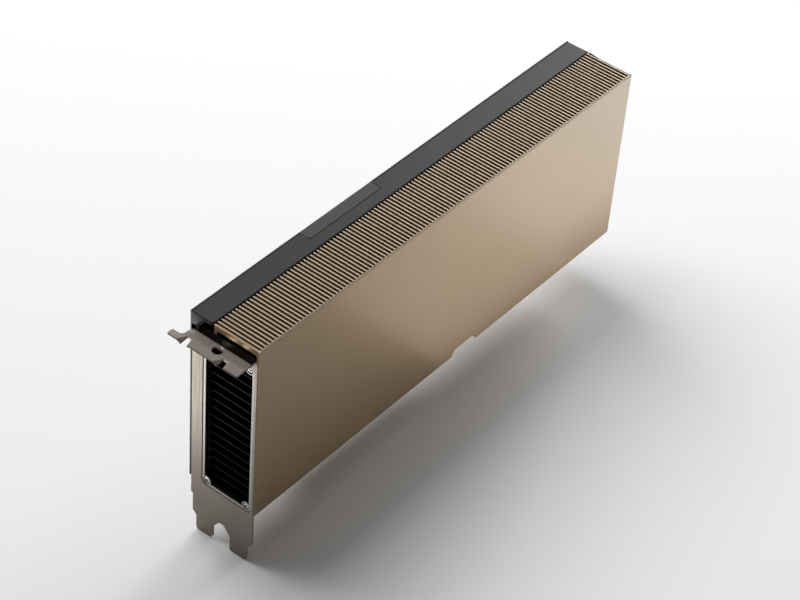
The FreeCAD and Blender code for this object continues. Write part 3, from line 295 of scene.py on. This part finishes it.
def steel_finish(name, tone, rough, stretch=(1, 1, 0.02), shaded_bar=False):
    """Plated steel with a fine rolled grain, a painted highlight at the flange's bend, painted
    shade on its cut edge and, if asked, a painted shadow on the vent frame's top bar.
    """
    finish = Finish(name)
    finish.set(Metallic=1.0)
    body = finish.mottled(22.0, tone, brighter(tone, 1.08))
    along, across, up = finish.axes(finish.place)
    facing, _, facing_up = finish.axes(finish.add("ShaderNodeNewGeometry").outputs["Normal"])
    forward = finish.spread(facing, 1.0, 0.0, *LOOKS_FORWARD)
    high = finish.rises(up, *FLANGE_HEIGHT)
    # Painted highlight: the flange's bend is made lighter where it faces up.
    bend_highlight = finish.times(high, finish.times(finish.rises(along, *FLANGE_BEND),
                                           finish.spread(facing_up, 0.0, 1.0, *LOOKS_UP)))
    body = finish.blend(bend_highlight, body, brighter(tone, BEND_HIGHLIGHT_TIMES))
    if shaded_bar:
        # Painted shadow on the vent frame's top bar, under the flange.
        bar = finish.times(high, finish.times(finish.rises(across, *SHADED_BAR), forward))
        body = finish.blend(bar, body, BAR_SHADOW_TONE)
    # Painted shade on the flange's outer cut edge, where it faces forwards.
    cut = finish.times(finish.falls(along, *FLANGE_CUT), forward)
    finish.colour(finish.blend(cut, body, CUT_EDGE_SHADE_TONE))
    grain = finish.noise(2400.0, 3.0, stretch)
    finish.roughness(finish.spread(grain, rough - 0.07, rough + 0.08))
    finish.bump(grain, 0.004, 0.5)
    return finish.material


def board_finish():
    """Solder mask over copper: dark resin with faint raised tracks."""
    finish = Finish("solder_mask")
    mapping = finish.add("ShaderNodeMapping")
    mapping.inputs["Rotation"].default_value = (math.radians(90), 0, 0)
    finish.link(finish.place, mapping.inputs["Vector"])
    tracks = finish.add("ShaderNodeTexBrick", offset=0.37, squash=1.6, squash_frequency=3)
    for name, value in (("Scale", 420.0), ("Mortar Size", 0.03),
                        ("Color1", (0.010, 0.030, 0.018, 1)), ("Color2", (0.014, 0.042, 0.025, 1)),
                        ("Mortar", (0.006, 0.018, 0.011, 1))):
        tracks.inputs[name].default_value = value
    finish.link(mapping.outputs["Vector"], tracks.inputs["Vector"])
    patches = finish.spread(finish.noise(60.0, 2.0), 0, 1, 0.42, 0.58)
    finish.colour(finish.blend(patches, (0.008, 0.026, 0.016), tracks.outputs["Color"]))
    finish.set(Roughness=0.32)
    finish.bump(tracks.outputs["Fac"], 0.02, 0.6)
    return finish.material


def plain_gloss(name, dark, light, rough, scale=200.0, metallic=0.0):
    """A small part's finish: a mottled tone under an even gloss."""
    finish = Finish(name)
    finish.set(Metallic=metallic)
    mottle = finish.noise(scale, 2.0)
    finish.colour(finish.blend(finish.spread(mottle, 0, 1), dark, light))
    finish.roughness(finish.spread(mottle, rough - 0.04, rough + 0.05))
    finish.bump(mottle, 0.01, 0.3)
    return finish.material


GOLD = gold_finish()
STEEL = steel_finish("bracket_plate", (0.215, 0.190, 0.163), 0.54)
VENT = steel_finish("vent_rim", (0.34, 0.323, 0.297), 0.56, stretch=(0.02, 1, 1), shaded_bar=True)
RAIL = coated("rail_coat", (0.020, 0.020, 0.021), (0.025, 0.025, 0.026), 0.40, specular=0.36,
              shaded_end_specular=0.12)
COVER = coated("cover_moulding", (0.034, 0.034, 0.032), (0.040, 0.040, 0.038), 0.46)
BACK = coated("backplate_coat", (0.016, 0.016, 0.017), (0.021, 0.021, 0.022), 0.5)
BRONZE = coated("duct_coat", (0.008, 0.007, 0.006), (0.012, 0.010, 0.008), 0.6, specular=0.06)
FIN = satin_metal("fin_sheet", (0.008, 0.008, 0.008), (0.012, 0.012, 0.012), 0.60, 900.0,
                  stretch=(0.05, 1, 1))
BASE = satin_metal("chamber_plate", (0.46, 0.33, 0.22), (0.52, 0.38, 0.26), 0.38)
BOARD = board_finish()
PLATING = plain_gloss("contact_plating", (0.83, 0.60, 0.24), (0.88, 0.66, 0.30), 0.24, 900.0, 1.0)
CHIP = plain_gloss("chip_moulding", (0.014, 0.014, 0.015), (0.020, 0.020, 0.021), 0.42, 700.0)
DIE = plain_gloss("polished_silicon", (0.14, 0.15, 0.17), (0.17, 0.18, 0.21), 0.12, 60.0, 0.6)
COIL = plain_gloss("pressed_powder", (0.075, 0.075, 0.078), (0.11, 0.11, 0.11), 0.62, 1500.0)
PAD = plain_gloss("soft_pad", (0.36, 0.42, 0.46), (0.42, 0.48, 0.52), 0.75, 900.0)
CAN = plain_gloss("capacitor_can", (0.58, 0.58, 0.59), (0.66, 0.66, 0.67), 0.28, 500.0, 1.0)
CERAMIC = plain_gloss("ceramic", (0.32, 0.22, 0.13), (0.40, 0.28, 0.17), 0.5, 2500.0)
SOCKET = coated("socket_moulding", (0.012, 0.012, 0.012), (0.017, 0.017, 0.017), 0.48)
PIN = plain_gloss("pin_plating", (0.70, 0.62, 0.42), (0.78, 0.70, 0.50), 0.25, 900.0, 1.0)
SCREW = satin_metal("screw_steel", (0.50, 0.49, 0.48), (0.58, 0.57, 0.56), 0.30, 1800.0)
DARK_SCREW = satin_metal("blackened_screw", (0.10, 0.10, 0.10), (0.15, 0.15, 0.15), 0.36, 1800.0)
SPRING = satin_metal("spring_steel", (0.46, 0.45, 0.44), (0.54, 0.53, 0.52), 0.33, 1500.0)

NODE_FINISH = {
    "shroud": GOLD, "top_rail": RAIL, "connector_cover": COVER, "backplate": BACK,
    "bracket": STEEL, "vent_frame": VENT, "front_frame": BRONZE, "rear_frame": RAIL,
    "circuit_board": BOARD, "edge_contacts": PLATING, "bridge_contacts": PLATING,
    "heatsink_base": BASE, "heatsink_fins": FIN, "chip_substrate": BOARD,
    "chip_stiffener": SPRING, "processor_die": DIE, "memory_stacks": CHIP,
    "inductors": COIL, "thermal_pads": PAD, "power_stages": CHIP,
    "ceramic_capacitors": CERAMIC, "bulk_capacitors": CAN, "control_chips": CHIP,
    "power_socket": SOCKET, "power_pins": PIN, "retention_plate": SPRING,
    "spring_screws": SCREW, "board_standoffs": SCREW, "backplate_screws": DARK_SCREW,
    "bracket_screws": SCREW, "vent_screws": SCREW, "floor_screws": DARK_SCREW,
}


def dress_nodes():
    """Give every carried-over node its finish."""
    for name, item in nodes.items():
        item.data.materials.clear()
        item.data.materials.append(NODE_FINISH[name])


# Pieces made from a node or an outline

def shown(name, data):
    """A new object in the scene."""
    item = bpy.data.objects.new(name, data)
    bpy.context.scene.collection.objects.link(item)
    return item


def worked_out(item):
    """The object's mesh with its modifiers applied, as a new mesh."""
    return bpy.data.meshes.new_from_object(
        item.evaluated_get(bpy.context.evaluated_depsgraph_get()))


def prism(name, outline, start, end):
    """A closed bar along X from its outline of (Y, Z) places."""
    count = len(outline)
    corners = [(x * MM, y * MM, z * MM) for x in (start, end) for y, z in outline]
    sides = [(i, (i + 1) % count, (i + 1) % count + count, i + count) for i in range(count)]
    caps = [tuple(range(count)), tuple(range(2 * count - 1, count - 1, -1))]
    mesh = bpy.data.meshes.new(name)
    mesh.from_pydata(corners, [], caps + sides)
    work = bmesh.new()
    work.from_mesh(mesh)
    bmesh.ops.recalc_face_normals(work, faces=work.faces)
    work.to_mesh(mesh)
    work.free()
    return shown(name, mesh)


def cut_away(mesh, cutter):
    """The mesh with the cutter taken out of it; the cutter is used up."""
    holder = shown("holder", mesh)
    cut = holder.modifiers.new("cut", "BOOLEAN")
    cut.object, cut.operation, cut.solver = cutter, "DIFFERENCE", "EXACT"
    result = worked_out(holder)
    bpy.data.objects.remove(holder)
    bpy.data.objects.remove(cutter)
    return result


def squared(place):
    """Where a point of the rail goes, so that its rounded far corner becomes a square one."""
    at_end = place.x > (BACK_PLANE - RAIL_CORNER) * MM
    at_side = place.y < (RAIL_SIDE + RAIL_CORNER) * MM
    return Vector((BACK_PLANE * MM, RAIL_SIDE * MM, place.z)) if at_end and at_side else place


def softened(node, finish, width, segments=2, front_width=None, cutter=None, move=None):
    """A copy of a node with its sharp edges rounded, which is shown in its place.

    front_width is the wider rounding of the edges that lie in the front plane. The cutter is
    taken out of the copy, and move says where each of its points goes, both before the rounding.
    """
    mesh = nodes[node].data.copy()
    mesh.name = node + "_finished"
    work = bmesh.new()
    work.from_mesh(mesh)
    bmesh.ops.remove_doubles(work, verts=work.verts, dist=WELD)
    if cutter:
        work.to_mesh(mesh)
        mesh = cut_away(mesh, cutter)
        work.free()
        work = bmesh.new()
        work.from_mesh(mesh)
    if move:
        for corner in work.verts:
            corner.co = move(corner.co)
        bmesh.ops.remove_doubles(work, verts=work.verts, dist=WELD)
    bmesh.ops.dissolve_limit(work, angle_limit=FLAT, verts=work.verts, edges=work.edges)
    if front_width:
        front = (FRONT_PLANE + PLANE_SLACK) * MM
        weight = work.edges.layers.float.new("bevel_weight_edge")
        for edge in work.edges:
            if len(edge.link_faces) == 2 and edge.calc_face_angle() > SHARP:
                in_front = all(corner.co.x < front for corner in edge.verts)
                edge[weight] = (front_width if in_front else width) / front_width
    work.to_mesh(mesh)
    work.free()
    mesh.materials.clear()
    mesh.materials.append(finish)
    piece = shown(node + "_finished", mesh)
    bevel = piece.modifiers.new("rounding", "BEVEL")
    bevel.width = (front_width or width) * MM
    bevel.segments = segments
    bevel.limit_method = "WEIGHT" if front_width else "ANGLE"
    bevel.angle_limit = SHARP
    bevel.use_clamp_overlap = not front_width
    rounded = worked_out(piece)
    piece.modifiers.clear()
    piece.data = rounded
    for face in rounded.polygons:
        face.use_smooth = False
    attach(piece, BODY)
    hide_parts(node)


# Pieces grown by geometry nodes

class Shape:
    """A geometry node tree being built, with named sizes and short ways to add nodes."""

    def __init__(self, name):
        self.tree = bpy.data.node_groups.new(name, "GeometryNodeTree")
        for way in ("INPUT", "OUTPUT"):
            self.tree.interface.new_socket(name="Geometry", in_out=way,
                                           socket_type="NodeSocketGeometry")
        self.start = self.tree.nodes.new("NodeGroupInput")
        self.end = self.tree.nodes.new("NodeGroupOutput")

    def size(self, name, kind="NodeSocketFloat"):
        """A named input of the tree."""
        self.tree.interface.new_socket(name=name, in_out="INPUT", socket_type=kind)
        return self.start.outputs[name]

    def node(self, kind, inputs=None, **settings):
        """A node with its settings, and its inputs by name or number, as values or sockets."""
        node = self.tree.nodes.new(kind)
        for name, setting in settings.items():
            setattr(node, name, setting)
        for key, entry in (inputs or {}).items():
            for source in entry if isinstance(entry, list) else [entry]:
                if hasattr(source, "is_output"):
                    self.tree.links.new(source, node.inputs[key])
                else:
                    node.inputs[key].default_value = source
        return node

    def add(self, kind, inputs=None, **settings):
        """The first output of a new node."""
        return self.node(kind, inputs, **settings).outputs[0]

    def maths(self, operation, first, second):
        return self.add("ShaderNodeMath", {0: first, 1: second}, operation=operation)

    def vector(self, x=0.0, y=0.0, z=0.0):
        return self.add("ShaderNodeCombineXYZ", {"X": x, "Y": y, "Z": z})

    def moved(self, geometry, place, turn=(0, 0, 0)):
        return self.add("GeometryNodeTransform", {
            "Geometry": geometry, "Translation": place, "Rotation": turn})

    def points(self):
        """The points that the tree is run on."""
        return self.add("GeometryNodeMeshToPoints", {"Mesh": self.start.outputs["Geometry"]})

    def finish(self, geometry):
        """Make the instances real, give them the named finish and end the tree."""
        real = self.add("GeometryNodeRealizeInstances", {"Geometry": geometry})
        done = self.add("GeometryNodeSetMaterial", {
            "Geometry": real, "Material": self.size("Finish", "NodeSocketMaterial")})
        self.tree.links.new(done, self.end.inputs["Geometry"])
        return self.tree


def grown(name, tree, points, sizes, instead, finish):
    """Run a tree on a set of points, and show its result, one plain mesh, for a node."""
    seed = bpy.data.meshes.new(name)
    seed.from_pydata([Vector(point) * MM for point in points], [], [])
    piece = shown(name, seed)
    modifier = piece.modifiers.new("grow", "NODES")
    modifier.node_group = tree
    values = {**sizes, "Finish": finish}
    for item in tree.interface.items_tree:
        if item.in_out == "INPUT" and item.name in values:
            modifier[item.identifier] = values[item.name]
    mesh = worked_out(piece)
    piece.modifiers.clear()
    piece.data = mesh
    mesh.name = name
    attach(piece, BODY)
    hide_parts(instead)


def in_metres(sizes):
    """A tree's named lengths, turned from millimetres into metres."""
    return {name: size * MM for name, size in sizes.items()}


HEAD_SIDES, SHANK_SIDES = 40, 24
CROWN_CURVE = 3.0


def screw_tree():
    """A pan-headed screw with a cross recess, on each point, turned to the way it is driven."""
    shape = Shape("headed_screw")
    radius, height, crown, shank_radius, shank_length, span, slot, depth, recess_turn = (
        shape.size(name) for name in (
            "Head Radius", "Head Height", "Crown", "Shank Radius", "Shank Length",
            "Recess Span", "Recess Width", "Recess Depth", "Recess Turn"))
    turn = shape.size("Turn", "NodeSocketRotation")

    # The head is a cylinder whose upper face falls away towards its rim.
    half = shape.maths("MULTIPLY", height, 0.5)
    head = shape.moved(shape.add("GeometryNodeMeshCylinder", {
        "Vertices": HEAD_SIDES, "Side Segments": 2, "Fill Segments": 5, "Radius": radius,
        "Depth": height}), shape.vector(z=half))
    place = shape.node("ShaderNodeSeparateXYZ", {
        0: shape.add("GeometryNodeInputPosition")}).outputs
    away = shape.node("ShaderNodeVectorMath", {0: shape.vector(place["X"], place["Y"])},
                      operation="LENGTH").outputs["Value"]
    share = shape.maths("DIVIDE", away, radius)
    fall = shape.maths("MULTIPLY", shape.maths("POWER", share, CROWN_CURVE), crown)
    upper = shape.add("FunctionNodeCompare", {0: place["Z"], 1: half},
                      data_type="FLOAT", operation="GREATER_EQUAL")
    head = shape.add("GeometryNodeSetPosition", {
        "Geometry": head, "Selection": upper,
        "Offset": shape.vector(z=shape.maths("MULTIPLY", fall, -1.0))})

    # The shank reaches up to the middle of the head.
    below = shape.maths("MULTIPLY", shape.maths("SUBTRACT", shank_length, half), -0.5)
    shank = shape.moved(shape.add("GeometryNodeMeshCylinder", {
        "Vertices": SHANK_SIDES, "Radius": shank_radius,
        "Depth": shape.maths("ADD", shank_length, half)}), shape.vector(z=below))
    screw = shape.add("GeometryNodeMeshBoolean", {"Mesh 2": [head, shank]},
                      operation="UNION", solver="EXACT")

    # The recess is two crossed bars, half of each above the head.
    twice = shape.maths("MULTIPLY", depth, 2.0)
    for size in ((span, slot, twice), (slot, span, twice)):
        arm = shape.moved(shape.add("GeometryNodeMeshCube", {"Size": shape.vector(*size)}),
                          shape.vector(z=height), shape.vector(z=recess_turn))
        screw = shape.add("GeometryNodeMeshBoolean", {"Mesh 1": screw, "Mesh 2": arm},
                          operation="DIFFERENCE", solver="EXACT")
    screw = shape.add("GeometryNodeMergeByDistance", {"Geometry": screw, "Distance": SCREW_WELD})
    return shape.finish(shape.add("GeometryNodeInstanceOnPoints", {
        "Points": shape.points(), "Instance": screw, "Rotation": turn}))


VENT_SCREW_PLACES = [(FRONT_PLANE, across, up) for across in (-7.34, -30.75)
                     for up in (16.15, 98.55)]
VENT_SCREW_SIZES = {
    "Head Radius": 1.38, "Head Height": 0.41, "Crown": 0.16, "Shank Radius": 1.0,
    "Shank Length": 2.0, "Recess Span": 1.7, "Recess Width": 0.6, "Recess Depth": 1.0}
BACKPLATE_OUTSIDE = 2.86
BACK_SCREW_PLACES = [(along, BACKPLATE_OUTSIDE, up) for along, up in (
    (-45.05, 19.15), (-45.05, 96.15), (196.95, 19.15), (196.95, 96.15),
    (-37.05, 107.65), (186.95, 107.65))]
BACK_SCREW_SIZES = {
    "Head Radius": 2.3, "Head Height": 0.6, "Crown": 0.1, "Shank Radius": 1.1,
    "Shank Length": 2.0, "Recess Span": 2.7, "Recess Width": 0.7, "Recess Depth": 0.45}
FACING_FRONT = (0, math.radians(-90), 0)
FACING_BACK = (math.radians(-90), 0, 0)
RECESS_TURN = math.radians(17)


def make_screws():
    """The heads that show: round the vent, and flush in the backplate."""
    tree = screw_tree()
    for node, places, sizes, facing, finish in (
            ("vent_screws", VENT_SCREW_PLACES, VENT_SCREW_SIZES, FACING_FRONT, SCREW),
            ("backplate_screws", BACK_SCREW_PLACES, BACK_SCREW_SIZES, FACING_BACK, DARK_SCREW)):
        grown(node + "_finished", tree, places, {
            **in_metres(sizes), "Recess Turn": RECESS_TURN, "Turn": facing}, node, finish)


def rib_tree():
    """A row of straight ribs with rounded edges, from each point on, along X."""
    shape = Shape("rib_row")
    pitch, width, height, sunk, length, radius = (shape.size(name) for name in (
        "Pitch", "Rib Width", "Rib Height", "Sunk Depth", "Rib Length", "Corner Radius"))
    count = shape.size("Count", "NodeSocketInt")
    section = shape.add("GeometryNodeCurvePrimitiveQuadrilateral", {
        "Width": width, "Height": shape.maths("ADD", height, sunk)})
    section = shape.add("GeometryNodeFilletCurve", {
        "Curve": section, "Count": 3, "Radius": radius}, mode="POLY")
    middle = shape.maths("MULTIPLY", shape.maths("SUBTRACT", height, sunk), 0.5)
    path = shape.add("GeometryNodeCurvePrimitiveLine", {
        "Start": shape.vector(z=middle), "End": shape.vector(y=length, z=middle)})
    path = shape.add("GeometryNodeSetCurveNormal", {"Curve": path}, mode="Z_UP")
    rib = shape.add("GeometryNodeCurveToMesh", {
        "Curve": path, "Profile Curve": section, "Fill Caps": True})
    row = shape.add("GeometryNodeMeshLine", {
        "Count": count, "Offset": shape.vector(x=pitch)}, mode="OFFSET")
    ribs = shape.add("GeometryNodeInstanceOnPoints", {"Points": row, "Instance": rib})
    return shape.finish(shape.add("GeometryNodeInstanceOnPoints", {
        "Points": shape.points(), "Instance": ribs}))


RIB_PITCH, RIB_COUNT = 2.176, 122
RIB_HEIGHT, RIB_SUNK = 0.75, 0.25
RIB_START, RIB_END = FACE_PLANE + 0.3, -9.90
RIB_SIZES = {"Pitch": RIB_PITCH, "Rib Width": 0.92, "Rib Height": RIB_HEIGHT,
             "Sunk Depth": RIB_SUNK, "Rib Length": RIB_END - RIB_START, "Corner Radius": 0.36}
LIP_WIDTH = 1.0
STRIP_WIDTH, STRIP_ROUNDING, STRIP_STEPS, STRIP_OVERLAP = 0.555, 0.5, 6, 0.1
# The room that is cut out of the shroud's copy for the ribs: how far it goes below them and past
# the shroud's outside, and where it ends beside the rail
ROOM_BELOW, ROOM_PAST, ROOM_END = 0.01, 1.0, -9.95


def make_deck():
    """The shroud with its ribs as rounded bars, and the rounded strip that joins them."""
    rib_foot = DECK_PLANE - RIB_HEIGHT
    floor = rib_foot - ROOM_BELOW
    first_gap = FRONT_PLANE + LIP_WIDTH
    room = [(FACE_PLANE - ROOM_PAST, floor), (ROOM_END, floor),
            (ROOM_END, DECK_PLANE + ROOM_PAST), (FACE_PLANE - ROOM_PAST, DECK_PLANE + ROOM_PAST)]
    softened("shroud", GOLD, 0.08, segments=3, front_width=0.35,
             cutter=prism("deck_room", room, first_gap, BACK_PLANE + ROOM_PAST))
    first_rib = (FRONT_PLANE + RIB_PITCH + LIP_WIDTH / 2, RIB_START, rib_foot)
    grown("shroud_ribs", rib_tree(), [first_rib], {**in_metres(RIB_SIZES), "Count": RIB_COUNT},
          "shroud", GOLD)
    turns = [math.radians(90 * step / STRIP_STEPS) for step in range(STRIP_STEPS + 1)]
    arc = [(FACE_PLANE + STRIP_ROUNDING * (1 - math.cos(turn)),
            DECK_PLANE - STRIP_ROUNDING * (1 - math.sin(turn))) for turn in turns]
    outline = [(FACE_PLANE, floor - RIB_SUNK)] + arc + [
        (FACE_PLANE + STRIP_WIDTH, DECK_PLANE), (FACE_PLANE + STRIP_WIDTH, floor - RIB_SUNK)]
    strip = prism("shroud_strip", outline, first_gap - STRIP_OVERLAP, BACK_PLANE)
    strip.data.materials.append(GOLD)
    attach(strip, BODY)
    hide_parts("shroud")


# The stage, whose places are in metres

FLOOR_DROP, FLOOR_REACH, FLOOR_TONE = 0.3 * MM, 6.0, (0.93, 0.93, 0.93, 1)
# Each soft lamp's angle round the card and above the floor, in degrees, its size and its power
LAMP_DISTANCE = 2.0
SOFT_LAMPS = [
    ("end_light", 5, 18, 1.2, 34.0), ("corner_light", 20, 18, 1.2, 7.5),
    ("back_light", 90, 60, 1.5, 33.0),
]
# Each panel's place along and across the floor, its size, its power and its colour
PANEL_HEIGHT = -0.012
FLOOR_PANELS = [
    ("bracket_panel", -0.140, 0.070, 0.07, 0.135, (1, 1, 1)),
    ("near_panel", 0.150, -0.108, 0.11, 0.024, (1, 1, 1)),
    ("middle_panel", 0.280, -0.138, 0.15, 0.070, (0.88, 1.0, 1.16)),
    ("far_panel", 0.400, -0.160, 0.20, 0.150, (0.82, 1.0, 1.26)),
]
SKY_STRENGTH = 0.03
CAMERA_PLACE, CAMERA_ANGLES = (-0.62083, -0.51513, 0.80312), (48.203, -3.563, -50.671)
CAMERA_LENS, CAMERA_REACH = 110.01, 50.0


def lamp(name, place, target, size, power, colour=(1, 1, 1)):
    """A square soft lamp at a place, turned towards a target."""
    data = bpy.data.lights.new(name, "AREA")
    data.shape = "RECTANGLE"
    data.size = data.size_y = size
    data.energy = power
    data.color = colour
    item = shown(name, data)
    item.location = place
    item.rotation_euler = (Vector(target) - Vector(place)).to_track_quat("-Z", "Y").to_euler()
    return item


def set_stage():
    """The pale floor, the lamps, the sky and the camera."""
    low = cad_low[2] - FLOOR_DROP
    mesh = bpy.data.meshes.new("floor")
    corners = [(x * FLOOR_REACH, y * FLOOR_REACH, low)
               for x, y in ((-1, -1), (1, -1), (1, 1), (-1, 1))]
    mesh.from_pydata(corners, [], [(0, 1, 2, 3)])
    floor = shown("floor", mesh)
    finish = Finish("pale_floor")
    finish.set(Roughness=0.9, Specular_IOR_Level=0.1, Base_Color=FLOOR_TONE)
    mesh.materials.append(finish.material)

    centre = (Vector(cad_low) + Vector(cad_high)) / 2
    for name, around, above, size, power in SOFT_LAMPS:
        turn, lift = math.radians(around), math.radians(above)
        away = Vector((math.cos(lift) * math.cos(turn), math.cos(lift) * math.sin(turn),
                       math.sin(lift)))
        lamp(name, centre + LAMP_DISTANCE * away, centre, size, power)
    for name, along, across, size, power, colour in FLOOR_PANELS:
        place = Vector((along, across, PANEL_HEIGHT))
        panel = lamp(name, place, place + Vector((0, 0, 1)), size, power, colour)
        panel.visible_camera = False

    world = bpy.data.worlds.new("studio")
    world.use_nodes = True
    sky = world.node_tree.nodes["Background"]
    sky.inputs["Color"].default_value = (1, 1, 1, 1)
    sky.inputs["Strength"].default_value = SKY_STRENGTH
    bpy.context.scene.world = world

    data = bpy.data.cameras.new("view")
    data.sensor_width = 36.0
    data.lens = CAMERA_LENS
    data.clip_end = CAMERA_REACH
    camera = shown("view", data)
    camera.location = CAMERA_PLACE
    camera.rotation_euler = Euler([math.radians(angle) for angle in CAMERA_ANGLES], "XYZ")
    bpy.context.scene.camera = camera
    bpy.context.scene.view_settings.view_transform = "Standard"


dress_nodes()
make_deck()
softened("bracket", STEEL, 0.06)
softened("vent_frame", VENT, 0.06)
softened("top_rail", RAIL, 0.10, move=squared)
softened("connector_cover", COVER, 0.15)
make_screws()
set_stage()
